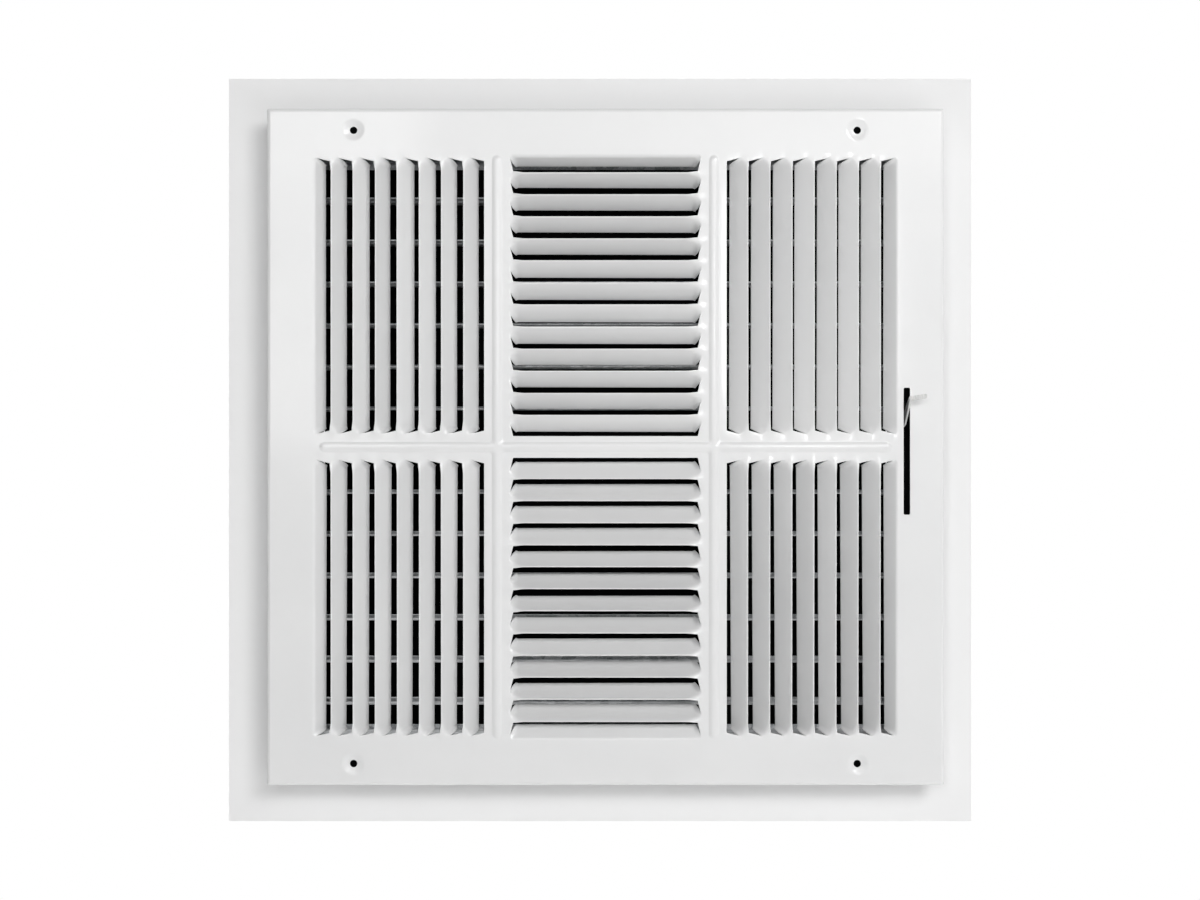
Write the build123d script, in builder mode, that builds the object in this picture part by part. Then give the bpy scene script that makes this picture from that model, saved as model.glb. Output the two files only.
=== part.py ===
from build123d import *
from math import cos, radians, sin, sqrt, tan
import os

# Sidewall register: stamped steel face with six louvre banks, a multi-shutter damper behind it
# and a thumb lever. Millimetres. X is right seen from the room, Y runs back into the duct,
# Z is up. Y = 0 is the wall surface that the turned-back rim of the face rests on.

# Face stamping
FACE_SIZE = 400.0
SHEET = 0.7
RIM_DEPTH = 6.0
RIM_RADIUS = 2.6
MARGIN = 24.2

# Louvre banks
SIDE_SLATS = 8
SIDE_BANK = 104.2
SIDE_END_GAP = 5.2
SIDE_MIDDLE_GAP = 1.3
MID_SLATS = 13
SIDE_BAND = 15.2
MIDDLE_BAND = 12.8
TOOTH_RISE = 1.9
TOOTH_ROOT = 5.0
TWIST_AXIS = 2.5
TWIST_RUN = 5.5
FOLD = 2.6

# Slat angles from the face plane, outermost slat to innermost slat; each slat is bent singly
LEFT_UPPER_ANGLES = (51.0, 54.0, 49.5, 55.5, 44.5, 47.0, 50.5, 51.5)
LEFT_LOWER_ANGLES = (47.5, 54.0, 52.0, 51.0, 52.5, 51.5, 49.5, 49.0)
RIGHT_UPPER_ANGLES = (40.0, 35.5, 31.5, 35.0, 31.0, 33.5, 34.5, 36.0)
RIGHT_LOWER_ANGLES = (44.5, 46.0, 46.5, 43.0, 46.0, 44.0, 43.0, 43.5)
MID_UPPER_ANGLES = (56.5, 56.0, 53.0, 52.5, 51.0, 45.0, 44.0, 42.0, 43.5, 46.0, 45.0, 46.0, 42.5)
MID_LOWER_ANGLES = (37.0, 47.5, 51.0, 52.5, 47.5, 49.5, 53.0, 52.0, 49.0, 42.5, 42.5, 42.5, 41.0)

# Stiffening beads
BEAD_WIDTH = 5.6
BEAD_HEIGHT = 1.0
BEAD_END_GAP_Z = 3.8
BEAD_END_GAP_X = 7.1

# Screw holes
HOLE_EDGE_X = 51.2
HOLE_EDGE_Z = 12.9
HOLE_RADIUS = 2.15
DIMPLE_RADIUS = 5.9
DIMPLE_DEPTH = 1.2
DIMPLE_LAND = 0.3

# Damper frame
FRAME_SHEET = 0.7
FRAME_CLEARANCE = 1.1
FRAME_BACK_MARGIN = 1.5
FLANGE_CLEARANCE = 0.9
FLANGE_TRIM = 5.0
FLANGE_SLOT_GAP = 5.0
LIP_WIDTH = 2.6
CORNER_TAB_CLEARANCE = 0.9
CORNER_TAB_FRONT = 11.3
CORNER_TAB_BACK = 8.0

# Shutters
SHUTTER_COUNT = 13
SHUTTER_SHEET = 0.5
SHUTTER_OVERLAP = 1.6
SHUTTER_SETBACK = 13.5
SHUTTER_END_CLEARANCE = 1.0
ROW_MARGIN = 9.2
ROW_DROP = 2.5
RIB_HEIGHT = 1.6
RIB_TOP = 3.4
RIB_BASE = 6.4
PIVOT_RADIUS = 1.5
PIVOT_CLEARANCE = 0.05
PIVOT_ROOT = 9.0
PIVOT_PROUD = 1.2
TRAVEL = 84.0

# Link bar and the shutter tabs in it
BAR_WIDTH = 12.0
BAR_SHEET = 0.8
BAR_END = 7.0
BAR_CORNER = 3.0
BAR_SLOT_HEIGHT = 2.2
BAR_SLOT_CLEARANCE = 0.3
NOTCH_CLEARANCE = 1.2
NOTCH_DEPTH = 6.5
TAB_REACH = 6.0
TAB_LENGTH = 7.6
TAB_WIDTH = 5.0
TAB_LAP = 2.0

# Lever and its slot
LEVER_SHEET = 1.0
LEVER_GAP = 0.3
LEVER_REST = 40.0
LEVER_WIDTH = 5.5
LEVER_HUB_RADIUS = 5.5
LEVER_JOG_START = 20.0
LEVER_JOG_RUN = 8.0
LEVER_PROUD = 3.6
LEVER_TIP_RUN = 2.5
LEVER_TIP_RISE = 9.5
LEVER_TAPER = 9.0
LEVER_TIP_WIDTH = 2.8
LEVER_TIP_ROUND = 1.1
HEAD_RADIUS = 2.6
HEAD_HEIGHT = 0.8
SLOT_OFFSET = 2.9
SLOT_WIDTH = 3.8
SLOT_CORNER = 0.9
SLOT_SIDE_CLEARANCE = 0.5
SLOT_END_CLEARANCE = 1.8

# Sizes that follow from the ones above
FRONT_Y = -RIM_DEPTH
BACK_Y = FRONT_Y + SHEET
FIELD = FACE_SIZE / 2 - MARGIN
SIDE_INNER = FIELD - SIDE_BANK
SIDE_END_HIGH = FIELD - SIDE_END_GAP
SIDE_END_LOW = MIDDLE_BAND / 2 + SIDE_MIDDLE_GAP
MID_INNER = MIDDLE_BAND / 2
MID_END = SIDE_INNER - SIDE_BAND
BEAD_X = (SIDE_INNER + MID_END) / 2
BEAD_REACH_Z = FIELD - BEAD_END_GAP_Z
BEAD_REACH_X = FIELD - BEAD_END_GAP_X
BEAD_RADIUS = (BEAD_WIDTH ** 2 / 4 + BEAD_HEIGHT ** 2) / (2 * BEAD_HEIGHT)
BEAD_CENTRE_Y = FRONT_Y - BEAD_HEIGHT + BEAD_RADIUS
HOLE_X = FACE_SIZE / 2 - HOLE_EDGE_X
HOLE_Z = FACE_SIZE / 2 - HOLE_EDGE_Z
DIMPLE_EDGE = DIMPLE_RADIUS + DIMPLE_LAND
FRAME_INNER = FIELD - FOLD + FRAME_CLEARANCE
FRAME_HALF = FRAME_INNER + FRAME_SHEET
FLANGE_OUT = HOLE_Z - DIMPLE_EDGE - FLANGE_CLEARANCE
FLANGE_REACH = FRAME_HALF - FLANGE_TRIM
SHUTTER_PITCH = 2 * (FRAME_INNER - ROW_MARGIN) / SHUTTER_COUNT
SHUTTER_CHORD = SHUTTER_PITCH + SHUTTER_OVERLAP
SHUTTER_HALF = FRAME_INNER - SHUTTER_END_CLEARANCE
ROW_Z = -ROW_DROP
ROW_TOP_Z = ROW_Z + SHUTTER_PITCH * (SHUTTER_COUNT - 1) / 2
SHUTTER_ZS = [ROW_TOP_Z - SHUTTER_PITCH * i for i in range(SHUTTER_COUNT)]
DRIVE = SHUTTER_COUNT // 2
PIVOT_Y = SHUTTER_SETBACK + SHUTTER_CHORD / 2
FRAME_BACK_Y = PIVOT_Y + SHUTTER_CHORD / 2 + FRAME_BACK_MARGIN
CORNER_TAB_LENGTH = ROW_MARGIN - ROW_DROP - SHUTTER_OVERLAP / 2 - CORNER_TAB_CLEARANCE
NOTCH_START = SHUTTER_CHORD / 2 - NOTCH_DEPTH
SWING = TRAVEL / 2
CRANK_Y = NOTCH_START + TAB_REACH * cos(radians(SWING))
CRANK_Z = -TAB_REACH * sin(radians(SWING))
LEVER_X = FRAME_HALF + LEVER_GAP
LEVER_JOG = SLOT_OFFSET + SLOT_WIDTH / 2 - SLOT_SIDE_CLEARANCE - LEVER_GAP - LEVER_SHEET
LEVER_LOW = TRAVEL - LEVER_REST
LEVER_STRAIGHT = (PIVOT_Y - FRONT_Y) / cos(radians(LEVER_LOW)) + LEVER_PROUD
SLOT_X = FRAME_HALF + SLOT_OFFSET
SLOT_SWEEP = 2 * (PIVOT_Y - FRONT_Y) * tan(radians(LEVER_LOW))
SLOT_LENGTH = SLOT_SWEEP + LEVER_WIDTH / cos(radians(LEVER_LOW)) + 2 * SLOT_END_CLEARANCE
FACE_PLANE = Plane(origin=(0, FRONT_Y, 0), x_dir=(1, 0, 0), z_dir=(0, -1, 0))

os.makedirs("parts", exist_ok=True)


# A louvre bank: u runs from the outer margin towards the middle, v runs along the slats
def bank(inner, low, high, count, u_dir, angles):
    v_dir = Vector(0, 0, 1) if abs(u_dir.X) > 0 else Vector(1, 0, 0)
    return {
        "origin": u_dir * -FIELD + v_dir * low,
        "u": u_dir,
        "v": v_dir,
        "count": count,
        "pitch": (FIELD - inner) / count,
        "length": high - low,
        "angles": angles,
    }


RIGHTWARD = Vector(1, 0, 0)
LEFTWARD = Vector(-1, 0, 0)
UPWARD = Vector(0, 0, 1)
DOWNWARD = Vector(0, 0, -1)
BANKS = [
    bank(SIDE_INNER, SIDE_END_LOW, SIDE_END_HIGH, SIDE_SLATS, RIGHTWARD, LEFT_UPPER_ANGLES),
    bank(SIDE_INNER, -SIDE_END_HIGH, -SIDE_END_LOW, SIDE_SLATS, RIGHTWARD, LEFT_LOWER_ANGLES),
    bank(SIDE_INNER, SIDE_END_LOW, SIDE_END_HIGH, SIDE_SLATS, LEFTWARD, RIGHT_UPPER_ANGLES),
    bank(SIDE_INNER, -SIDE_END_HIGH, -SIDE_END_LOW, SIDE_SLATS, LEFTWARD, RIGHT_LOWER_ANGLES),
    bank(MID_INNER, -MID_END, MID_END, MID_SLATS, DOWNWARD, MID_UPPER_ANGLES),
    bank(MID_INNER, -MID_END, MID_END, MID_SLATS, UPWARD, MID_LOWER_ANGLES),
]


# Outline of the opening that one bank of lanced slats leaves in the face
def opening_outline(b):
    near = [(FOLD, TOOTH_RISE * (1 - FOLD / TOOTH_ROOT))]
    for k in range(b["count"]):
        near.append((k * b["pitch"] + TOOTH_ROOT, 0))
        near.append(((k + 1) * b["pitch"], TOOTH_RISE))
    far = [(u, b["length"] - v) for u, v in reversed(near)]
    corners = [b["origin"] + b["u"] * u + b["v"] * v for u, v in near + far]
    return [(p.X, p.Z) for p in corners]


# Section of a slat where it is still flat in the face, along the line that holds it
def root_outline(first, angle):
    end = sqrt(TOOTH_ROOT ** 2 + TOOTH_RISE ** 2)
    front = FOLD / TOOTH_ROOT * end if first else 0
    back = front - SHEET * tan(radians(angle / 2)) if first else 0
    return [(back, SHEET), (end, SHEET), (end, 0), (front, 0)]


# Section of a slat at full width and angle; the outermost slat is folded from the margin,
# the others are twisted about a line just behind their front edge
def open_outline(first, pitch, angle):
    c = cos(radians(angle))
    s = sin(radians(angle))
    if first:
        tip = (FOLD + (pitch - FOLD) * c, (pitch - FOLD) * s)
        back = FOLD - SHEET * tan(radians(angle / 2))
        return [(back, SHEET), (tip[0] - SHEET * s, tip[1] + SHEET * c), tip, (FOLD, 0)]
    corners = [
        (-TWIST_AXIS, SHEET / 2),
        (pitch - TWIST_AXIS, SHEET / 2),
        (pitch - TWIST_AXIS, -SHEET / 2),
        (-TWIST_AXIS, -SHEET / 2),
    ]
    return [(TWIST_AXIS + x * c - y * s, SHEET / 2 + x * s + y * c) for x, y in corners]


def section_points(b, corner, direction, outline):
    along = (b["u"] * direction[0] + b["v"] * direction[1]).normalized()
    origin = b["origin"] + b["u"] * corner[0] + b["v"] * corner[1] + Vector(0, FRONT_Y, 0)
    return [origin + along * x + Vector(0, y, 0) for x, y in outline]


def slat_sections(b, k):
    u0 = k * b["pitch"]
    angle = b["angles"][k % len(b["angles"])]
    root = root_outline(k == 0, angle)
    full = open_outline(k == 0, b["pitch"], angle)
    far = b["length"]
    return [
        section_points(b, (u0, TOOTH_RISE), (TOOTH_ROOT, -TOOTH_RISE), root),
        section_points(b, (u0, TWIST_RUN), (1, 0), full),
        section_points(b, (u0, far - TWIST_RUN), (1, 0), full),
        section_points(b, (u0, far - TOOTH_RISE), (TOOTH_ROOT, TOOTH_RISE), root),
    ]


# A slat is straight between its ends; each end is creased from the root of the cut
# to the front edge, so every face of it is flat
def slat_solid(sections):
    flats = [sections[0], sections[3]]
    for i, j in ((0, 1), (1, 2), (2, 3), (3, 0)):
        flats.append([sections[1][i], sections[1][j], sections[2][j], sections[2][i]])
        for root, full in ((sections[0], sections[1]), (sections[3], sections[2])):
            p, q = (j, i) if i == 0 else (i, j)
            flats.append([root[p], root[q], full[q]])
            flats.append([root[p], full[q], full[p]])
    return Solid(Shell([Face(Wire.make_polygon(points, close=True)) for points in flats]))


# Ridges along the bands between the banks, drawn in by a trim at each end
def bead_body(radius, trim):
    with BuildPart() as ridges:
        for x in (-BEAD_X, BEAD_X):
            with Locations((x, BEAD_CENTRE_Y, 0)):
                Cylinder(radius=radius, height=2 * (BEAD_REACH_Z - trim))
        with Locations((0, BEAD_CENTRE_Y, 0)):
            Cylinder(radius=radius, height=2 * (BEAD_REACH_X - trim), rotation=(0, 90, 0))
    return ridges.part


# Outline of a bent strip of sheet whose middle line is given
def strip_outline(path, sheet):
    normals = []
    for (x0, y0), (x1, y1) in zip(path, path[1:]):
        run = sqrt((x1 - x0) ** 2 + (y1 - y0) ** 2)
        normals.append((-(y1 - y0) / run, (x1 - x0) / run))
    upper = []
    lower = []
    for i, (x, y) in enumerate(path):
        before = normals[max(i - 1, 0)]
        after = normals[min(i, len(normals) - 1)]
        mx = before[0] + after[0]
        my = before[1] + after[1]
        scale = sheet / (mx * mx + my * my)
        upper.append((x + mx * scale, y + my * scale))
        lower.append((x - mx * scale, y - my * scale))
    return upper + lower[::-1]


# Face: tray with a turned-back rim, beads, dimpled screw holes, lever slot and six louvre banks
slats = [slat_solid(slat_sections(b, k)) for b in BANKS for k in range(b["count"])]

with BuildPart() as bead_skin:
    add(bead_body(BEAD_RADIUS, 0))
    with Locations((0, FRONT_Y + SHEET / 2, 0)):
        Box(
            FACE_SIZE,
            BEAD_RADIUS,
            FACE_SIZE,
            align=(Align.CENTER, Align.MAX, Align.CENTER),
            mode=Mode.INTERSECT,
        )

with BuildPart() as tray_void:
    with Locations((0, BACK_Y, 0)):
        Box(
            FACE_SIZE - 2 * SHEET,
            RIM_DEPTH,
            FACE_SIZE - 2 * SHEET,
            align=(Align.CENTER, Align.MIN, Align.CENTER),
        )
    fillet(tray_void.faces().sort_by(Axis.Y)[0].edges(), RIM_RADIUS - SHEET)

with BuildPart() as faceplate:
    with Locations((0, FRONT_Y, 0)):
        Box(FACE_SIZE, RIM_DEPTH, FACE_SIZE, align=(Align.CENTER, Align.MIN, Align.CENTER))
    fillet(faceplate.faces().sort_by(Axis.Y)[0].edges(), RIM_RADIUS)
    add(tray_void.part, mode=Mode.SUBTRACT)
    add(bead_skin.part)
    add(bead_body(BEAD_RADIUS - SHEET, SHEET), mode=Mode.SUBTRACT)
    with BuildSketch(FACE_PLANE):
        with GridLocations(2 * HOLE_X, 2 * HOLE_Z, 2, 2):
            Circle(DIMPLE_EDGE)
        with Locations((SLOT_X, ROW_Z)):
            RectangleRounded(SLOT_WIDTH, SLOT_LENGTH, SLOT_CORNER)
        for b in BANKS:
            with BuildLine():
                Polyline(*opening_outline(b), close=True)
            make_face()
    extrude(amount=-2 * SHEET, mode=Mode.SUBTRACT)
    for x in (-HOLE_X, HOLE_X):
        for z in (-HOLE_Z, HOLE_Z):
            with BuildSketch(Plane(origin=(x, FRONT_Y, z), x_dir=(1, 0, 0), z_dir=(0, 0, 1))):
                with BuildLine():
                    Polyline(
                        (HOLE_RADIUS, DIMPLE_DEPTH),
                        (DIMPLE_RADIUS, 0),
                        (DIMPLE_EDGE, 0),
                        (DIMPLE_EDGE, SHEET),
                        (DIMPLE_RADIUS, SHEET),
                        (HOLE_RADIUS, DIMPLE_DEPTH + SHEET),
                        close=True,
                    )
                make_face()
            revolve(axis=Axis((x, 0, z), (0, 1, 0)))
    add(slats)
faceplate.part.label = "faceplate"
export_step(faceplate.part, "parts/faceplate.step")


# Side walls of the damper frame carry the shutter pivots and a flange on the back of the face
def side_wall(side):
    outward = Align.MIN if side > 0 else Align.MAX
    with BuildPart() as wall:
        with Locations((side * FRAME_INNER, BACK_Y, 0)):
            Box(
                FRAME_SHEET,
                FRAME_BACK_Y - BACK_Y,
                2 * FRAME_HALF,
                align=(outward, Align.MIN, Align.CENTER),
            )
            Box(
                FLANGE_OUT - FRAME_INNER,
                FRAME_SHEET,
                2 * FLANGE_REACH,
                align=(outward, Align.MIN, Align.CENTER),
            )
        if side > 0:
            with Locations((FRAME_HALF, BACK_Y, ROW_Z)):
                Box(
                    FLANGE_OUT - FRAME_HALF,
                    FRAME_SHEET,
                    SLOT_LENGTH + 2 * FLANGE_SLOT_GAP,
                    align=(outward, Align.MIN, Align.CENTER),
                    mode=Mode.SUBTRACT,
                )
        with Locations(*[(side * FRAME_HALF, PIVOT_Y, z) for z in SHUTTER_ZS]):
            Cylinder(
                radius=PIVOT_RADIUS + PIVOT_CLEARANCE,
                height=4 * FRAME_SHEET,
                rotation=(0, 90, 0),
                mode=Mode.SUBTRACT,
            )
    return wall.part


# Top and bottom walls carry a flange, an inward lip at the back and a tab at each corner
def cross_wall(side):
    outward = Align.MIN if side > 0 else Align.MAX
    inward = Align.MAX if side > 0 else Align.MIN
    with BuildPart() as wall:
        with Locations((0, BACK_Y, side * FRAME_INNER)):
            Box(
                2 * FRAME_INNER,
                FRAME_BACK_Y - BACK_Y,
                FRAME_SHEET,
                align=(Align.CENTER, Align.MIN, outward),
            )
            Box(
                2 * FLANGE_REACH,
                FRAME_SHEET,
                FLANGE_OUT - FRAME_INNER,
                align=(Align.CENTER, Align.MIN, outward),
            )
        with Locations((0, FRAME_BACK_Y, side * FRAME_HALF)):
            Box(
                2 * FRAME_INNER,
                FRAME_SHEET,
                FRAME_SHEET + LIP_WIDTH,
                align=(Align.CENTER, Align.MAX, inward),
            )
        with Locations(*[(x * (FRAME_INNER - FRAME_SHEET / 2), 0, side * FRAME_HALF) for x in (-1, 1)]):
            with Locations((0, BACK_Y + CORNER_TAB_FRONT, 0)):
                Box(
                    FRAME_SHEET,
                    FRAME_BACK_Y - CORNER_TAB_BACK - BACK_Y - CORNER_TAB_FRONT,
                    FRAME_SHEET + CORNER_TAB_LENGTH,
                    align=(Align.CENTER, Align.MIN, inward),
                )
    return wall.part


frame_left_wall = side_wall(-1)
frame_left_wall.label = "frame_left_wall"
export_step(frame_left_wall, "parts/frame_left_wall.step")

frame_right_wall = side_wall(1)
frame_right_wall.label = "frame_right_wall"
export_step(frame_right_wall, "parts/frame_right_wall.step")

frame_top_wall = cross_wall(1)
frame_top_wall.label = "frame_top_wall"
export_step(frame_top_wall, "parts/frame_top_wall.step")

frame_bottom_wall = cross_wall(-1)
frame_bottom_wall.label = "frame_bottom_wall"
export_step(frame_bottom_wall, "parts/frame_bottom_wall.step")


# Shutter: strip with a pressed rib on its axis, round pivots under the rib's ends and a link tab
def shutter(z, drives):
    rear = SHUTTER_CHORD / 2
    blade_path = [
        (-rear, 0),
        (-RIB_BASE / 2, 0),
        (-RIB_TOP / 2, RIB_HEIGHT),
        (RIB_TOP / 2, RIB_HEIGHT),
        (RIB_BASE / 2, 0),
        (rear, 0),
    ]
    tab_tip = NOTCH_START + TAB_LENGTH * cos(radians(SWING))
    tab_path = [
        (NOTCH_START - TAB_LAP, 0),
        (NOTCH_START, 0),
        (tab_tip, -TAB_LENGTH * sin(radians(SWING))),
    ]
    with BuildPart() as blade:
        with BuildSketch(Plane(origin=(-SHUTTER_HALF, PIVOT_Y, z), x_dir=(0, 1, 0), z_dir=(1, 0, 0))):
            with BuildLine():
                Polyline(*strip_outline(blade_path, SHUTTER_SHEET), close=True)
            make_face()
        extrude(amount=2 * SHUTTER_HALF)
        with Locations((BEAD_X, PIVOT_Y + NOTCH_START, z)):
            Box(
                BAR_WIDTH + 2 * NOTCH_CLEARANCE,
                SHUTTER_CHORD,
                4 * SHUTTER_SHEET,
                align=(Align.CENTER, Align.MIN, Align.CENTER),
                mode=Mode.SUBTRACT,
            )
        with BuildSketch(Plane(origin=(BEAD_X, PIVOT_Y, z), x_dir=(0, 1, 0), z_dir=(1, 0, 0))):
            with BuildLine():
                Polyline(*strip_outline(tab_path, SHUTTER_SHEET), close=True)
            make_face()
        extrude(amount=TAB_WIDTH / 2, both=True)
        for end in (-1, 1):
            reach = FRAME_HALF + PIVOT_PROUD
            if drives and end > 0:
                reach = LEVER_X + LEVER_SHEET + HEAD_HEIGHT
            with Locations((end * (SHUTTER_HALF - PIVOT_ROOT), PIVOT_Y, z)):
                Cylinder(
                    radius=PIVOT_RADIUS,
                    height=reach - SHUTTER_HALF + PIVOT_ROOT,
                    rotation=(0, 90 * end, 0),
                    align=(Align.CENTER, Align.CENTER, Align.MIN),
                )
        if drives:
            with Locations((LEVER_X + LEVER_SHEET, PIVOT_Y, z)):
                Cylinder(
                    radius=HEAD_RADIUS,
                    height=HEAD_HEIGHT,
                    rotation=(0, 90, 0),
                    align=(Align.CENTER, Align.CENTER, Align.MIN),
                )
    return blade.part


for i, z in enumerate(SHUTTER_ZS):
    blade = shutter(z, i == DRIVE)
    blade.label = f"shutter_{i + 1:02d}"
    export_step(blade, f"parts/{blade.label}.step")


# Link bar: strip parallel to the face with one slot for each shutter's tab
with BuildPart() as link_bar:
    bar_middle = (BEAD_X, PIVOT_Y + CRANK_Y, ROW_Z + CRANK_Z)
    with BuildSketch(Plane(origin=bar_middle, x_dir=(1, 0, 0), z_dir=(0, -1, 0))) as bar_outline:
        Rectangle(BAR_WIDTH, SHUTTER_PITCH * (SHUTTER_COUNT - 1) + 2 * BAR_END)
        chamfer(bar_outline.vertices(), BAR_CORNER)
        with GridLocations(0, SHUTTER_PITCH, 1, SHUTTER_COUNT):
            Rectangle(TAB_WIDTH + 2 * BAR_SLOT_CLEARANCE, BAR_SLOT_HEIGHT, mode=Mode.SUBTRACT)
    extrude(amount=BAR_SHEET / 2, both=True)
link_bar.part.label = "link_bar"
export_step(link_bar.part, "parts/link_bar.step")


# Lever: strip joggled out to the slot, with its finger end turned outwards
with BuildPart() as damper_lever:
    lever_along = Vector(0, -cos(radians(LEVER_REST)), sin(radians(LEVER_REST)))
    lever_hub = Vector(LEVER_X, PIVOT_Y, SHUTTER_ZS[DRIVE])
    lever_path = [
        (0, LEVER_SHEET / 2),
        (LEVER_JOG_START, LEVER_SHEET / 2),
        (LEVER_JOG_START + LEVER_JOG_RUN, LEVER_SHEET / 2 + LEVER_JOG),
        (LEVER_STRAIGHT, LEVER_SHEET / 2 + LEVER_JOG),
        (LEVER_STRAIGHT + LEVER_TIP_RUN, LEVER_SHEET / 2 + LEVER_JOG + LEVER_TIP_RISE),
    ]
    with BuildSketch(Plane(origin=lever_hub, x_dir=lever_along, z_dir=lever_along.cross(RIGHTWARD))):
        with BuildLine():
            Polyline(*strip_outline(lever_path, LEVER_SHEET), close=True)
        make_face()
    extrude(amount=LEVER_WIDTH / 2, both=True)
    with BuildSketch(Plane(origin=lever_hub, x_dir=lever_along, z_dir=RIGHTWARD)):
        with BuildLine():
            Polyline(
                (LEVER_STRAIGHT - LEVER_TAPER, -LEVER_WIDTH / 2),
                (LEVER_STRAIGHT, LEVER_WIDTH / 2 - LEVER_TIP_WIDTH),
                (LEVER_STRAIGHT + LEVER_TAPER, LEVER_WIDTH / 2 - LEVER_TIP_WIDTH),
                (LEVER_STRAIGHT + LEVER_TAPER, -LEVER_WIDTH / 2),
                close=True,
            )
        make_face()
    extrude(amount=LEVER_TAPER + LEVER_TIP_RISE, mode=Mode.SUBTRACT)
    lever_end = damper_lever.faces().sort_by(Axis(lever_hub, lever_along))[-1]
    fillet(lever_end.edges().sort_by(SortBy.LENGTH)[:2], LEVER_TIP_ROUND)
    with Locations(lever_hub):
        Cylinder(
            radius=LEVER_HUB_RADIUS,
            height=LEVER_SHEET,
            rotation=(0, 90, 0),
            align=(Align.CENTER, Align.CENTER, Align.MIN),
        )
        Cylinder(radius=PIVOT_RADIUS, height=4 * LEVER_SHEET, rotation=(0, 90, 0), mode=Mode.SUBTRACT)
damper_lever.part.label = "damper_lever"
export_step(damper_lever.part, "parts/damper_lever.step")
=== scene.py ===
import math

import bmesh
import bpy
from mathutils.geometry import delaunay_2d_cdt
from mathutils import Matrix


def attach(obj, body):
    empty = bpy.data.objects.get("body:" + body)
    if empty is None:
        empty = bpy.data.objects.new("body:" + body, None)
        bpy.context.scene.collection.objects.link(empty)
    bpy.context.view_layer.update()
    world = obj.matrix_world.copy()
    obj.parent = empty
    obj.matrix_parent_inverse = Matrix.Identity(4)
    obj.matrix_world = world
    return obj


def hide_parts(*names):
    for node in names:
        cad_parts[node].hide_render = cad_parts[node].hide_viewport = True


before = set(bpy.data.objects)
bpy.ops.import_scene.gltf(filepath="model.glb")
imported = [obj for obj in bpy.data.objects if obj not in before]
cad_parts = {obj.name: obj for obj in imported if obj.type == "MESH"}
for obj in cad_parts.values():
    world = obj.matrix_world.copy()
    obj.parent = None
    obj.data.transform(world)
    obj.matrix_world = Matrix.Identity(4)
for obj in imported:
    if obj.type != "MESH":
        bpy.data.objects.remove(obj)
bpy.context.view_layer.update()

MM = 0.001

# Sizes of the face in millimetres, as in the CAD source
FACE_HALF = 200.0
SHEET = 0.7
FRONT_Y = -6.0
RIM_RADIUS = 2.6
CORNER_RADIUS = 0.9
FIELD = 175.8
SIDE_INNER = 71.6
SIDE_LOW = 7.7
SIDE_HIGH = 170.6
SIDE_SLATS = 8
MID_INNER = 6.4
MID_END = 56.4
MID_SLATS = 13
TOOTH_RISE = 1.9
TOOTH_ROOT = 5.0
TWIST_AXIS = 2.5
TWIST_RUN = 4.8
FRONT_RUN = 3.0
SLAT_RISE = 3.4
FOLD = 2.6
FOLD_RADIUS = 3.0
DRAW = 0.34
DRAW_REACH = 2.3
BEAD_X = 64.0
BEAD_REACH_X = 168.7
BEAD_REACH_Z = 172.0
BEAD_HALF = 2.95
BEAD_HEIGHT = 1.0
HOLE_X = 148.8
HOLE_Z = 187.1
SLOT_X = 177.9
SLOT_Z = -2.5
SLOT_HALF_X = 1.9
SLOT_HALF_Z = 37.5
SLOT_CORNER = 0.9

# Banks: origin, direction across the slats, direction along them, pitch, length, the angle of
# each slat as it is bent, and how much the angle grows along the slats
SIDE_PITCH = (FIELD - SIDE_INNER) / SIDE_SLATS
MID_PITCH = (FIELD - MID_INNER) / MID_SLATS
SIDE_LENGTH = SIDE_HIGH - SIDE_LOW
LEFT_UPPER = (51.0, 54.0, 49.5, 55.5, 44.5, 47.0, 50.5, 51.5)
LEFT_LOWER = (47.5, 54.0, 52.0, 51.0, 52.5, 51.5, 49.5, 49.0)
RIGHT_UPPER = (40.0, 35.5, 31.5, 35.0, 31.0, 33.5, 34.5, 36.0)
RIGHT_LOWER = (44.5, 46.0, 46.5, 43.0, 46.0, 44.0, 43.0, 43.5)
MID_UPPER = (56.5, 56.0, 53.0, 52.5, 51.0, 45.0, 44.0, 42.0, 43.5, 46.0, 45.0, 46.0, 42.5)
MID_LOWER = (37.0, 47.5, 51.0, 52.5, 47.5, 49.5, 53.0, 52.0, 49.0, 42.5, 42.5, 42.5, 41.0)
BANKS = [
    ((-FIELD, SIDE_LOW), (1, 0), (0, 1), SIDE_PITCH, SIDE_LENGTH, LEFT_UPPER, 0.5),
    ((-FIELD, -SIDE_HIGH), (1, 0), (0, 1), SIDE_PITCH, SIDE_LENGTH, LEFT_LOWER, -4),
    ((FIELD, SIDE_LOW), (-1, 0), (0, 1), SIDE_PITCH, SIDE_LENGTH, RIGHT_UPPER, 4),
    ((FIELD, -SIDE_HIGH), (-1, 0), (0, 1), SIDE_PITCH, SIDE_LENGTH, RIGHT_LOWER, -7),
    ((-MID_END, FIELD), (0, -1), (1, 0), MID_PITCH, 2 * MID_END, MID_UPPER, -2),
    ((-MID_END, -FIELD), (0, 1), (1, 0), MID_PITCH, 2 * MID_END, MID_LOWER, -1.5),
]
COLUMNS = [0, 0.5, 1.25, 2.5, 3.75, TOOTH_ROOT, 6.1, 7.4, 9.0, 10.6, 12.0]
FIRST_COLUMNS = [FOLD, 3.0, 3.4, 3.8, 4.2, 4.6, TOOTH_ROOT, 5.5, 6.2, 7.4, 9.0, 11.0]
END_ROWS = 11
MIDDLE_ROWS = 14
RIM_STEPS = 44
BEND_STEPS = 8
CORNER_STEPS = 4
HOLE_STEPS = 48
GRID_REACH = 193.0
GRID_STEP = 6.0
WELD = 0.002

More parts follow.
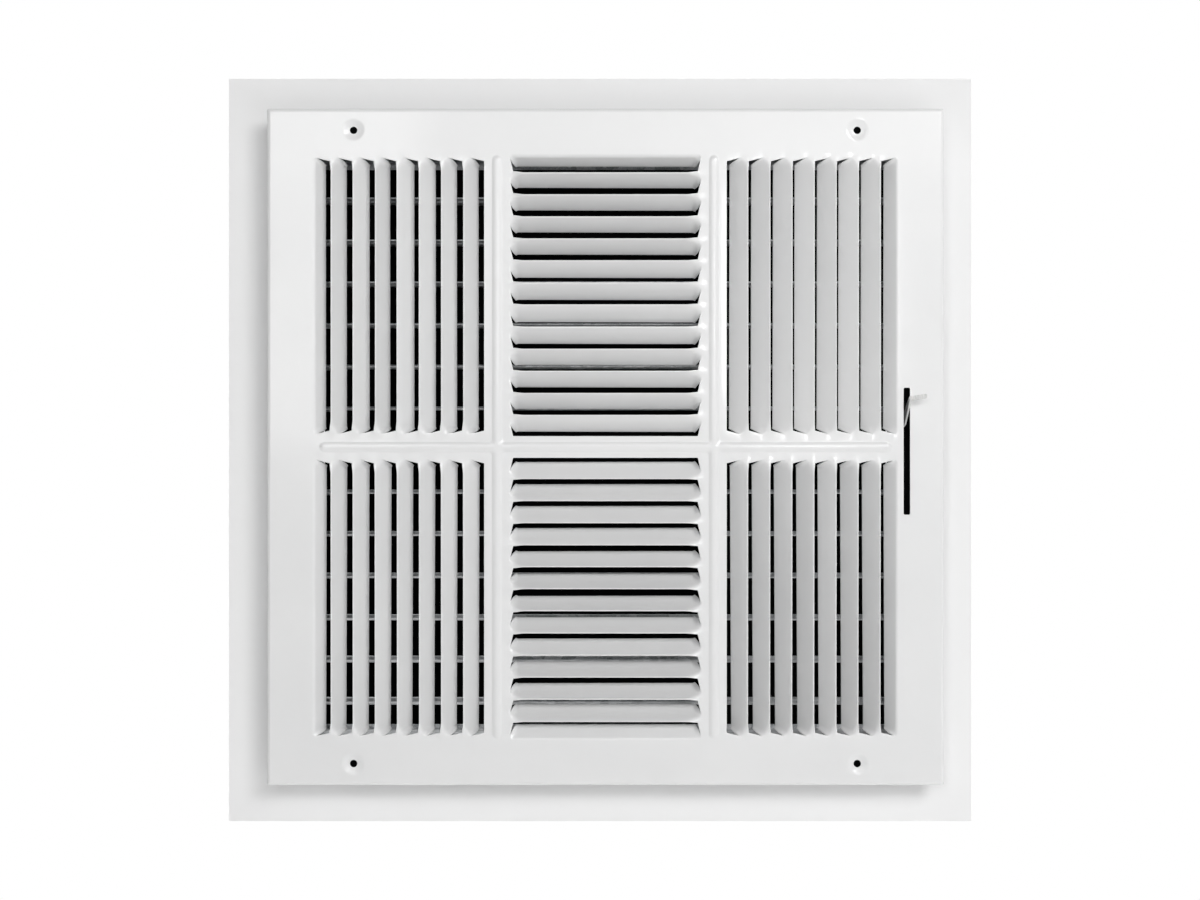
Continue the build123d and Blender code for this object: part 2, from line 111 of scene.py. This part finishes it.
# Dish round a screw hole: radius and depth, from the face to the hole
DISH = [
    (7.4, 0.0), (6.9, 0.02), (6.4, 0.08), (5.8, 0.2), (5.1, 0.41), (4.4, 0.66),
    (3.8, 0.86), (3.3, 1.0), (2.8, 1.09), (2.4, 1.14), (2.15, 1.18),
]
# Distances from the middle of a bead at which its section is followed
BEAD_ROWS = [0.7, 1.4, 2.0, 2.45, 2.8, 3.1, 3.45, 3.9]
BEAD_STEP = 2.6
BEAD_END_STEP = 0.6
BEAD_CROSSING = 7.0
BEAD_BLEND = 2.4

# Edge rounding in metres
FACE_BEVEL = 0.00018
SHEET_BEVEL = 0.00012
LEVER_BEVEL = 0.00022


def bank_point(bank, u, v, depth=0.0):
    (ox, oz), (ux, uz), (vx, vz) = bank[:3]
    return (ox + ux * u + vx * v, FRONT_Y + depth, oz + uz * u + vz * v)


def end_line(u, pitch):
    """Where the end of a slat lies: the attached line up to the root, then the free cut."""
    if u <= TOOTH_ROOT:
        return TOOTH_RISE * (1 - u / TOOTH_ROOT)
    return SLAT_RISE * (u - TOOTH_ROOT) / (pitch - TOOTH_ROOT)


def slat_rows(u, pitch, length):
    """Positions along a slat at one column: fanned near each end, even between."""
    start = end_line(u, pitch)
    stop = TWIST_RUN + FRONT_RUN + TOOTH_RISE
    near = [start + (stop - start) * (i / END_ROWS) ** 1.25 for i in range(END_ROWS + 1)]
    step = (length - 2 * stop) / MIDDLE_ROWS
    middle = [stop + step * i for i in range(1, MIDDLE_ROWS)]
    return near + middle + [length - v for v in reversed(near)]


def twist_share(u, v, length):
    held = TOOTH_RISE * max(0.0, 1 - u / TOOTH_ROOT)
    run = TWIST_RUN + FRONT_RUN * max(0.0, 1 - u / TWIST_AXIS)
    share = (min(v, length - v) - held) / run
    share = min(max(share, 0.0), 1.0)
    return 1 - (1 - share) ** 2


def slat_point(u, angle, first):
    """Section of a turned slat: folded from the margin, or twisted about its axis."""
    if first:
        s = u - FOLD
        arc = min(s, FOLD_RADIUS * angle)
        turn = arc / FOLD_RADIUS
        rest = s - arc
        return (
            FOLD + FOLD_RADIUS * math.sin(turn) + rest * math.cos(angle),
            FOLD_RADIUS * (1 - math.cos(turn)) + rest * math.sin(angle),
        )
    x = u - TWIST_AXIS
    y = -SHEET / 2
    c = math.cos(angle)
    s = math.sin(angle)
    return TWIST_AXIS + x * c - y * s, SHEET / 2 + x * s + y * c


def bead_height(x, z):
    """Height of the pressed beads above the face, blended where they cross."""
    ends = BEAD_REACH_Z - BEAD_HALF
    upright = math.hypot(abs(x) - BEAD_X, max(abs(z) - ends, 0.0))
    level = math.hypot(z, max(abs(x) - BEAD_REACH_X + BEAD_HALF, 0.0))
    mix = max(BEAD_BLEND - abs(upright - level), 0.0) / BEAD_BLEND
    d = min(upright, level) - mix * mix * BEAD_BLEND / 4
    rise = 1 - (d / BEAD_HALF) ** 2
    return BEAD_HEIGHT * 0.5 * (rise + math.sqrt(rise * rise + 0.006))


def drawn(x, z):
    """How far the sheet beside the end of a slat is pulled along as the slat is turned."""
    move = 0.0
    for bank in BANKS:
        (ox, oz), (ux, uz), (vx, vz), pitch, length, angles = bank[:6]
        across = (x - ox) * ux + (z - oz) * uz
        along = (x - ox) * vx + (z - oz) * vz
        if not (-4 < across < pitch * len(angles) + 3 and -6 < along < length + 6):
            continue
        k = min(max(math.floor((across + 4) / pitch), 0), len(angles) - 1)
        u = across - k * pitch
        out = min(along, length - along) - TOOTH_RISE * min(max(1 - u / TOOTH_ROOT, 0), 1)
        near = DRAW * math.exp(-(out / DRAW_REACH) ** 2)
        crest = math.exp(-((u - 0.4) / 1.7) ** 2)
        hollow = math.exp(-((u - 5.2) / 1.8) ** 2)
        move += near * (0.45 * hollow - (crest if k else 0.0))
    return move


def rounded_loop(half_x, half_z, radius, steps, sides, cx=0.0, cz=0.0):
    """Rectangle with round corners whose straight sides are cut into a number of steps."""
    corners = []
    for sx, sz, start in ((1, 1, 0), (-1, 1, 90), (-1, -1, 180), (1, -1, 270)):
        corner = []
        for i in range(steps + 1):
            a = math.radians(start + 90 * i / steps)
            corner.append((
                cx + sx * (half_x - radius) + radius * math.cos(a),
                cz + sz * (half_z - radius) + radius * math.sin(a),
            ))
        corners.append(corner)
    points = []
    for n in range(4):
        points.extend(corners[n])
        points.extend(between(corners[n][-1], corners[(n + 1) % 4][0], sides[n % 2]))
    return points


def between(p, q, count):
    return [(p[0] + (q[0] - p[0]) * i / count, p[1] + (q[1] - p[1]) * i / count) for i in range(1, count)]


def divided(line, step):
    """Line of points with more points put in where two are further apart than a step."""
    points = [line[0]]
    for p, q in zip(line, line[1:]):
        points.extend(between(p, q, math.ceil(math.dist(p, q) / step)))
        points.append(q)
    return points


def inside(polygon, x, z):
    hit = False
    px, pz = polygon[-1]
    for qx, qz in polygon:
        if (pz > z) != (qz > z) and x < (qx - px) * (z - pz) / (qz - pz) + px:
            hit = not hit
        px, pz = qx, qz
    return hit


def grid_line(low, high, step):
    count = max(1, round((high - low) / step))
    return [low + (high - low) * i / count for i in range(count + 1)]


def plain(x, z):
    """Whether a point of the face lies clear of the banks, beads, slot and screw holes."""
    x, z, side = abs(x), abs(z), x
    if SIDE_INNER - 3 < x < FIELD + 0.5 and SIDE_LOW - 3 < z < SIDE_HIGH + 3:
        return False
    if x < MID_END + 3 and MID_INNER - 3 < z < FIELD + 0.5:
        return False
    if abs(x - BEAD_X) < 5.2 and z < BEAD_REACH_Z + 3:
        return False
    if z < 5.2 and x < BEAD_REACH_X + 3 or math.hypot(x - BEAD_X, z) < 10:
        return False
    if side > 0 and abs(x - SLOT_X) < SLOT_HALF_X + 2.5 and z < SLOT_HALF_Z + 5:
        return False
    return math.hypot(x - HOLE_X, z - HOLE_Z) > 9.5


def face_mesh():
    bm = bmesh.new()
    points = []
    edges = []
    holes = []

    def loop(ring):
        first = len(points)
        points.extend(ring)
        edges.extend((first + i, first + (i + 1) % len(ring)) for i in range(len(ring)))

    def vertex(x, y, z):
        return bm.verts.new((x, y, z))

    # Rim: rounded edge and turned-back side
    profile = []
    for i in range(BEND_STEPS + 1):
        a = math.radians(90 * i / BEND_STEPS)
        profile.append((RIM_RADIUS * (1 - math.sin(a)), FRONT_Y + RIM_RADIUS * (1 - math.cos(a))))
    profile += [(0.0, -1.8), (0.0, 0.0)]
    rings = []
    for inset, y in profile:
        half = FACE_HALF - inset
        ring = rounded_loop(half, half, CORNER_RADIUS, CORNER_STEPS, (RIM_STEPS, RIM_STEPS))
        rings.append([vertex(x, y, z) for x, z in ring])
    for a, b in zip(rings, rings[1:]):
        for i in range(len(a)):
            j = (i + 1) % len(a)
            bm.faces.new((a[i], a[j], b[j], b[i]))
    flat_half = FACE_HALF - RIM_RADIUS
    loop(rounded_loop(flat_half, flat_half, CORNER_RADIUS, CORNER_STEPS, (RIM_STEPS, RIM_STEPS)))

    # Openings of the banks and the slats in them
    for bank in BANKS:
        pitch, length, angles, growth = bank[3:]
        count = len(angles)
        near = []
        for k in range(count):
            for u in FIRST_COLUMNS if k == 0 else COLUMNS:
                if u <= TOOTH_ROOT:
                    near.append((k * pitch + u, end_line(u, pitch)))
        near.append((count * pitch, TOOTH_RISE))
        far = [(u, length - v) for u, v in reversed(near)]
        fold = [(FOLD, v) for v in reversed(slat_rows(FOLD, pitch, length)[1:-1])]
        ring = [bank_point(bank, u, v) for u, v in divided(near + far, 3.0) + fold]
        ring = [(x, z) for x, _, z in ring]
        holes.append(ring)
        loop(ring)
        for k, angle in enumerate(angles):
            columns = (FIRST_COLUMNS if k == 0 else COLUMNS) + [pitch]
            grid = []
            for u in columns:
                line = []
                for v in slat_rows(u, pitch, length):
                    turn = angle + growth * (v / length - 0.5)
                    turn = math.radians(turn) * twist_share(u, v, length)
                    across, depth = slat_point(u, turn, k == 0)
                    line.append(vertex(*bank_point(bank, k * pitch + across, v, depth)))
                grid.append(line)
            for a, b in zip(grid, grid[1:]):
                for i in range(len(a) - 1):
                    bm.faces.new((a[i], b[i], b[i + 1], a[i + 1]))

    # Lever slot
    ring = rounded_loop(SLOT_HALF_X, SLOT_HALF_Z, SLOT_CORNER, CORNER_STEPS, (1, 18), SLOT_X, SLOT_Z)
    holes.append(ring)
    loop(ring)

    # Dimples round the screw holes
    for sx in (-1, 1):
        for sz in (-1, 1):
            rings = []
            for radius, depth in DISH:
                ring = []
                for i in range(HOLE_STEPS):
                    a = 2 * math.pi * i / HOLE_STEPS
                    x = sx * HOLE_X + radius * math.cos(a)
                    z = sz * HOLE_Z + radius * math.sin(a)
                    ring.append((x, FRONT_Y + depth, z))
                rings.append(ring)
            outline = [(x, z) for x, _, z in rings[0]]
            holes.append(outline)
            loop(outline)
            rings = [[vertex(*p) for p in ring] for ring in rings]
            for a, b in zip(rings, rings[1:]):
                for i in range(HOLE_STEPS):
                    j = (i + 1) % HOLE_STEPS
                    bm.faces.new((a[i], a[j], b[j], b[i]))

    # Points that carry the beads
    offsets = [-a for a in BEAD_ROWS] + [0.0] + BEAD_ROWS
    crossing = grid_line(-6.0, 6.0, 0.5)
    ends = grid_line(BEAD_REACH_Z - 5.0, BEAD_REACH_Z + BEAD_END_STEP, BEAD_END_STEP)
    run = grid_line(BEAD_CROSSING, BEAD_REACH_Z - 6.5, BEAD_STEP) + ends
    for sx in (-1, 1):
        for a in crossing:
            for b in crossing:
                points.append((sx * BEAD_X + a, b))
        for a in offsets:
            for b in run:
                points.append((sx * BEAD_X + a, b))
                points.append((sx * BEAD_X + a, -b))
        ends = grid_line(BEAD_REACH_X - 5.0, BEAD_REACH_X + BEAD_END_STEP, BEAD_END_STEP)
        for b in grid_line(BEAD_X + BEAD_CROSSING, BEAD_REACH_X - 6.5, BEAD_STEP) + ends:
            points.extend((sx * b, a) for a in offsets)
    for b in grid_line(-BEAD_X + BEAD_CROSSING, BEAD_X - BEAD_CROSSING, BEAD_STEP):
        points.extend((b, a) for a in offsets)

    # Points beside the slat ends
    for bank in BANKS:
        pitch, length, angles = bank[3:6]
        for k in range(len(angles)):
            for u in (-2.4, -1.2, 0.4, 1.6, 2.8, 4.0, 5.2, 6.4, 7.8):
                if k == 0 and u < 2:
                    continue
                edge = TOOTH_RISE * min(max(1 - u / TOOTH_ROOT, 0), 1)
                if u < 0:
                    edge = -0.1
                for out in (0.9, 1.8, 2.9):
                    for v in (edge - out, length - edge + out):
                        x, _, z = bank_point(bank, k * pitch + u, v)
                        points.append((x, z))

    # Points spread over the plain parts, clear of every edge
    for x in grid_line(-GRID_REACH, GRID_REACH, GRID_STEP):
        for z in grid_line(-GRID_REACH, GRID_REACH, GRID_STEP):
            if plain(x, z):
                points.append((x, z))

    flat, _, triangles, _, _, _ = delaunay_2d_cdt(points, edges, [], 0, 1e-5)
    corners = [vertex(p[0], FRONT_Y - bead_height(p[0], p[1]), p[1]) for p in flat]
    boxes = []
    for ring in holes:
        xs = [p[0] for p in ring]
        zs = [p[1] for p in ring]
        boxes.append((min(xs), max(xs), min(zs), max(zs), ring))
    for triangle in triangles:
        x = sum(flat[i][0] for i in triangle) / 3
        z = sum(flat[i][1] for i in triangle) / 3
        if not any(
            x0 < x < x1 and z0 < z < z1 and inside(ring, x, z) for x0, x1, z0, z1, ring in boxes
        ):
            bm.faces.new([corners[i] for i in triangle])

    bmesh.ops.remove_doubles(bm, verts=bm.verts, dist=WELD)
    for v in bm.verts:
        v.co.y += drawn(v.co.x, v.co.z)
    loose = [v for v in bm.verts if not v.link_faces]
    bmesh.ops.delete(bm, geom=loose, context="VERTS")
    bmesh.ops.recalc_face_normals(bm, faces=bm.faces)
    front = max(bm.faces, key=lambda f: f.calc_area())
    if front.normal.y > 0:
        bmesh.ops.reverse_faces(bm, faces=bm.faces)
    bmesh.ops.scale(bm, vec=(MM, MM, MM), verts=bm.verts)
    for f in bm.faces:
        f.smooth = True
    mesh = bpy.data.meshes.new("register_face")
    bm.to_mesh(mesh)
    bm.free()
    return mesh


def round_edges(obj, width, segments):
    bevel = obj.modifiers.new("edges", "BEVEL")
    bevel.width = width
    bevel.segments = segments
    bevel.limit_method = "ANGLE"
    bevel.angle_limit = math.radians(35)
    bevel.use_clamp_overlap = False
    normals = obj.modifiers.new("normals", "WEIGHTED_NORMAL")
    normals.weight = 80


face = bpy.data.objects.new("register_face", face_mesh())
bpy.context.collection.objects.link(face)
thick = face.modifiers.new("sheet", "SOLIDIFY")
thick.thickness = SHEET * MM
thick.offset = -1
round_edges(face, FACE_BEVEL, 1)
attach(face, "register")
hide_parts("faceplate")


# Materials
def node(tree, kind, **inputs):
    n = tree.nodes.new(kind)
    for name, value in inputs.items():
        n.inputs[name.replace("_", " ")].default_value = value
    return n


def start_material(name):
    mat = bpy.data.materials.new(name)
    mat.use_nodes = True
    tree = mat.node_tree
    shader = tree.nodes["Principled BSDF"]
    coords = tree.nodes.new("ShaderNodeTexCoord")
    return mat, tree, shader, coords.outputs["Object"]


def ramp(tree, source, low, high):
    r = tree.nodes.new("ShaderNodeValToRGB")
    r.color_ramp.elements[0].position = 0.3
    r.color_ramp.elements[1].position = 0.7
    r.color_ramp.elements[0].color = (*low, 1)
    r.color_ramp.elements[1].color = (*high, 1)
    tree.links.new(source, r.inputs["Fac"])
    return r.outputs["Color"]


def value_range(tree, source, low, high):
    r = tree.nodes.new("ShaderNodeMapRange")
    r.inputs["To Min"].default_value = low
    r.inputs["To Max"].default_value = high
    tree.links.new(source, r.inputs["Value"])
    return r.outputs["Result"]


def noise(tree, coords, scale, detail, stretch=None):
    if stretch:
        m = tree.nodes.new("ShaderNodeMapping")
        m.inputs["Scale"].default_value = stretch
        tree.links.new(coords, m.inputs["Vector"])
        coords = m.outputs["Vector"]
    n = node(tree, "ShaderNodeTexNoise", Scale=scale, Detail=detail)
    tree.links.new(coords, n.inputs["Vector"])
    return n.outputs["Fac"]


def bump(tree, source, shader, strength, distance):
    b = node(tree, "ShaderNodeBump", Strength=strength, Distance=distance)
    tree.links.new(source, b.inputs["Height"])
    tree.links.new(b.outputs["Normal"], shader.inputs["Normal"])


def white_coat(name, painted_highlight_lift):
    mat, tree, shader, coords = start_material(name)
    cloud = noise(tree, coords, 14.0, 3.0)
    # The lift brightens the whole base colour: a painted highlight, used for the copy of the coat on the
    # sheet's cut edges
    low = [c + painted_highlight_lift for c in (0.785, 0.787, 0.788)]
    high = [c + painted_highlight_lift for c in (0.815, 0.816, 0.815)]
    colour = ramp(tree, cloud, low, high)
    tree.links.new(colour, shader.inputs["Base Color"])
    peel = noise(tree, coords, 850.0, 2.5)
    tree.links.new(value_range(tree, peel, 0.34, 0.46), shader.inputs["Roughness"])
    bump(tree, peel, shader, 0.2, 0.00012)
    shader.inputs["Coat Weight"].default_value = 0.7
    shader.inputs["Coat Roughness"].default_value = 0.1
    return mat


def galvanised():
    mat, tree, shader, coords = start_material("galvanised_steel")
    cells = node(tree, "ShaderNodeTexVoronoi", Scale=230.0)
    tree.links.new(coords, cells.inputs["Vector"])
    fine = noise(tree, coords, 1300.0, 3.0)
    mixed = tree.nodes.new("ShaderNodeMix")
    mixed.data_type = "RGBA"
    mixed.blend_type = "OVERLAY"
    mixed.inputs["Factor"].default_value = 0.55
    spangle = ramp(tree, cells.outputs["Color"], (0.38, 0.39, 0.40), (0.60, 0.61, 0.62))
    tree.links.new(spangle, mixed.inputs["A"])
    tree.links.new(ramp(tree, fine, (0.3, 0.3, 0.3), (0.7, 0.7, 0.7)), mixed.inputs["B"])
    tree.links.new(mixed.outputs["Result"], shader.inputs["Base Color"])
    shader.inputs["Metallic"].default_value = 0.85
    rough = value_range(tree, cells.outputs["Distance"], 0.36, 0.50)
    tree.links.new(rough, shader.inputs["Roughness"])
    bump(tree, fine, shader, 0.15, 0.0001)
    return mat


def bright_steel():
    mat, tree, shader, coords = start_material("bright_lever_steel")
    grain = noise(tree, coords, 500.0, 4.0, (4.0, 0.4, 0.4))
    colour = ramp(tree, grain, (0.62, 0.62, 0.61), (0.78, 0.78, 0.77))
    tree.links.new(colour, shader.inputs["Base Color"])
    shader.inputs["Metallic"].default_value = 0.9
    tree.links.new(value_range(tree, grain, 0.24, 0.42), shader.inputs["Roughness"])
    bump(tree, grain, shader, 0.12, 0.00008)
    return mat


coat = white_coat("white_powder_coat", 0.0)
# Brighter copy of the coat: painted highlight for the cut edges of the sheet
coat_painted_edge_highlight = white_coat("white_powder_coat_painted_edge_highlight", 0.13)
zinc = galvanised()
steel = bright_steel()
face.data.materials.append(coat)
face.data.materials.append(coat_painted_edge_highlight)
# The rim faces of the solidified sheet, its cut edges, take the coat with the painted highlight
thick.material_offset_rim = 1
for name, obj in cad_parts.items():
    if name == "faceplate":
        continue
    for place in obj.material_slots:
        place.material = steel if name == "damper_lever" else zinc
    round_edges(obj, LEVER_BEVEL if name == "damper_lever" else SHEET_BEVEL, 2)


# Rays that show a background: what the camera sees and what metal reflects
def showing_rays(tree):
    path = tree.nodes.new("ShaderNodeLightPath")
    found = path.outputs["Is Camera Ray"]
    for kind in ("Is Glossy Ray", "Is Transmission Ray"):
        either = tree.nodes.new("ShaderNodeMath")
        either.operation = "MAXIMUM"
        tree.links.new(found, either.inputs[0])
        tree.links.new(path.outputs[kind], either.inputs[1])
        found = either.outputs["Value"]
    return found


# Stage: white surface behind the register with the duct opening in it, a pale card that takes
# the shadow of the face, a black sheet painted as the shade inside the duct, and a floor
def stage_material(name, colour, one_sided, white=0.0):
    mat = bpy.data.materials.new(name)
    mat.use_nodes = True
    tree = mat.node_tree
    tree.nodes.clear()
    out = tree.nodes.new("ShaderNodeOutputMaterial")
    paint = node(tree, "ShaderNodeBsdfDiffuse", Color=(*colour, 1)).outputs["BSDF"]
    if white:
        glow = tree.nodes.new("ShaderNodeEmission")
        both = tree.nodes.new("ShaderNodeMixShader")
        tree.links.new(value_range(tree, showing_rays(tree), 0.0, white), both.inputs["Fac"])
        tree.links.new(paint, both.inputs[1])
        tree.links.new(glow.outputs["Emission"], both.inputs[2])
        paint = both.outputs["Shader"]
    if not one_sided:
        tree.links.new(paint, out.inputs["Surface"])
        return mat
    # Clear from behind, also for light that has come through it from behind
    clear = tree.nodes.new("ShaderNodeBsdfTransparent")
    side = tree.nodes.new("ShaderNodeNewGeometry")
    passed = tree.nodes.new("ShaderNodeLightPath")
    behind = tree.nodes.new("ShaderNodeMath")
    behind.operation = "ADD"
    behind.use_clamp = True
    tree.links.new(side.outputs["Backfacing"], behind.inputs[0])
    tree.links.new(passed.outputs["Transparent Depth"], behind.inputs[1])
    mix = tree.nodes.new("ShaderNodeMixShader")
    tree.links.new(behind.outputs["Value"], mix.inputs["Fac"])
    tree.links.new(paint, mix.inputs[1])
    tree.links.new(clear.outputs["BSDF"], mix.inputs[2])
    tree.links.new(mix.outputs["Shader"], out.inputs["Surface"])
    return mat


def stage_mesh(name, points, faces, mat):
    mesh = bpy.data.meshes.new(name)
    mesh.from_pydata(points, [], faces)
    obj = bpy.data.objects.new(name, mesh)
    bpy.context.collection.objects.link(obj)
    mesh.materials.append(mat)
    return obj


def square(half, y):
    return [(-half, y, -half), (half, y, -half), (half, y, half), (-half, y, half)]


WALL_Y = 0.0425
WALL_HALF = 4.0
DUCT_HALF = 0.1740
CARD_Y = 0.015
CARD_HOLE = 0.189
CARD_CORNERS = ((-0.227, -0.2256), (0.2206, -0.2256), (0.2206, 0.222), (-0.227, 0.222))
FLOOR_Z = -0.32
ring_faces = [(i, (i + 1) % 4, 4 + (i + 1) % 4, 4 + i) for i in range(4)]
backdrop = stage_mesh(
    "backdrop",
    square(WALL_HALF, WALL_Y) + square(DUCT_HALF, WALL_Y),
    ring_faces,
    stage_material("backdrop_white", (0.98, 0.98, 0.98), True, 1.0),
)
card = stage_mesh(
    "card",
    [(x, CARD_Y, z) for x, z in CARD_CORNERS] + square(CARD_HOLE, CARD_Y),
    ring_faces,
    stage_material("card_pale", (0.9, 0.9, 0.9), True),
)
# Black sheet across the duct opening: painted shade for the unlit inside of the duct, seen only from the
# front
duct = stage_mesh(
    "duct",
    square(DUCT_HALF, WALL_Y),
    [(0, 1, 2, 3)],
    stage_material("duct_painted_shade", (0.003, 0.003, 0.003), True),
)

# Dark behind the screw holes and the lever slot, seen only from the front
shade_points = []
shade_faces = []
for cx, cz, hx, hz, y in (
    (HOLE_X, HOLE_Z, 6, 6, 4),
    (-HOLE_X, HOLE_Z, 6, 6, 4),
    (HOLE_X, -HOLE_Z, 6, 6, 4),
    (-HOLE_X, -HOLE_Z, 6, 6, 4),
    (SLOT_X + 3, SLOT_Z, 8, 50, 20),
):
    first = len(shade_points)
    shade_faces.append((first, first + 1, first + 2, first + 3))
    for sx, sz in ((-1, -1), (1, -1), (1, 1), (-1, 1)):
        shade_points.append(((cx + sx * hx) * MM, y * MM, (cz + sz * hz) * MM))
shade = stage_mesh(
    "shade",
    shade_points,
    shade_faces,
    stage_material("shade_dark", (0.006, 0.006, 0.006), True),
)
floor = stage_mesh(
    "floor",
    [(-4, -5, FLOOR_Z), (4, -5, FLOOR_Z), (4, 5, FLOOR_Z), (-4, 5, FLOOR_Z)],
    [(0, 1, 2, 3)],
    stage_material("floor_pale", (0.9, 0.9, 0.9), False, 0.7),
)
for obj in (backdrop, card, duct, shade, floor):
    obj.visible_shadow = False

# World: white for what the camera sees and metal reflects, softer as a light
world = bpy.data.worlds.new("studio")
bpy.context.scene.world = world
world.use_nodes = True
tree = world.node_tree
background = tree.nodes["Background"]
tree.links.new(value_range(tree, showing_rays(tree), 0.03, 1.0), background.inputs["Strength"])
background.inputs["Color"].default_value = (1, 1, 1, 1)


def soft_lamp(name, place, size, power):
    lamp = bpy.data.lights.new(name, "AREA")
    lamp.shape = "RECTANGLE"
    lamp.size, lamp.size_y = size
    lamp.energy = power
    obj = bpy.data.objects.new(name, lamp)
    bpy.context.collection.objects.link(obj)
    obj.location = place
    obj.rotation_euler = (-obj.location).to_track_quat("-Z", "Y").to_euler()


# Lamps look at the middle of the face: place, size and power
soft_lamp("key", (1.04, -1.8, 0.97), (0.8, 0.8), 19)
soft_lamp("low", (1.04, -1.8, -0.97), (0.8, 0.8), 6)
soft_lamp("top", (0.05, -2.07, 1.0), (1.6, 0.35), 5.5)
soft_lamp("left", (-0.58, -2.15, 0.62), (0.45, 1.3), 5)
soft_lamp("front", (0.38, -2.0, 0.28), (0.22, 0.36), 3.2)
soft_lamp("strip", (0, -2.07, 0.6), (1.5, 0.2), 1.1)
soft_lamp("rear", (-0.7, 2.3, 1.2), (1.4, 1.4), 26)

# Camera square to the face
lens = bpy.data.cameras.new("camera")
lens.sensor_width = 36.0
lens.lens = 48.3
camera = bpy.data.objects.new("camera", lens)
bpy.context.collection.objects.link(camera)
camera.location = (-0.0032, -0.956, -0.0018)
camera.rotation_euler = (math.pi / 2, 0, 0)
bpy.context.scene.camera = camera

bpy.context.scene.view_settings.view_transform = "Standard"
